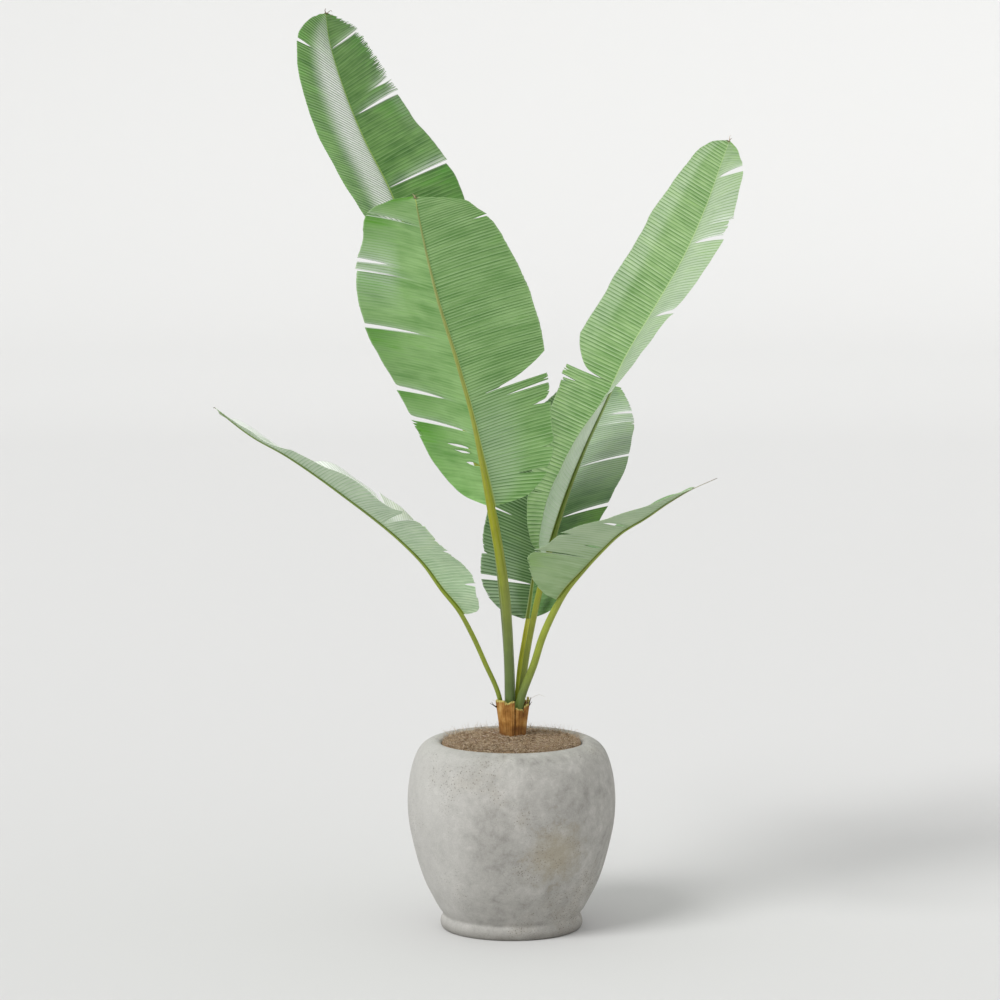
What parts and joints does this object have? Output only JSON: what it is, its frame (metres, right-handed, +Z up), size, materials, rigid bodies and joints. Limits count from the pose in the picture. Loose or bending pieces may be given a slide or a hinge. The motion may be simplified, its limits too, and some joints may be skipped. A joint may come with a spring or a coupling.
{
  "type": "potted banana plant",
  "caption": "Tall potted foliage plant with large torn paddle leaves on long stalks, in a rounded concrete pot.",
  "frame": {"origin": "centre of the pot's foot, on the surface that it stands on", "axes": "+Z up, +X to the right and -Y towards the viewer, as the plant is usually looked at"},
  "size_m": [0.9976, 1.0101, 1.7448],
  "materials": {
    "pot": "cast concrete, matt, mottled grey",
    "mulch": "dry fibre mulch on soil",
    "sheath": "dry brown leaf sheath",
    "stalk": "smooth yellow-green stalk, satin",
    "blade": "green leaf blade, waxy"
  },
  "bodies": {
    "root": {"pot": "pot", "soil": "mulch", "stump": "sheath", "leaf_back_stalk": "stalk", "leaf_back_blade": "blade", "leaf_front_stalk": "stalk", "leaf_front_blade": "blade", "leaf_upper_right_stalk": "stalk", "leaf_upper_right_blade": "blade", "leaf_behind_stalk": "stalk", "leaf_behind_blade": "blade", "leaf_low_right_stalk": "stalk", "leaf_low_right_blade": "blade", "leaf_low_left_stalk": "stalk", "leaf_low_left_blade": "blade"}
  },
  "joints": []
}
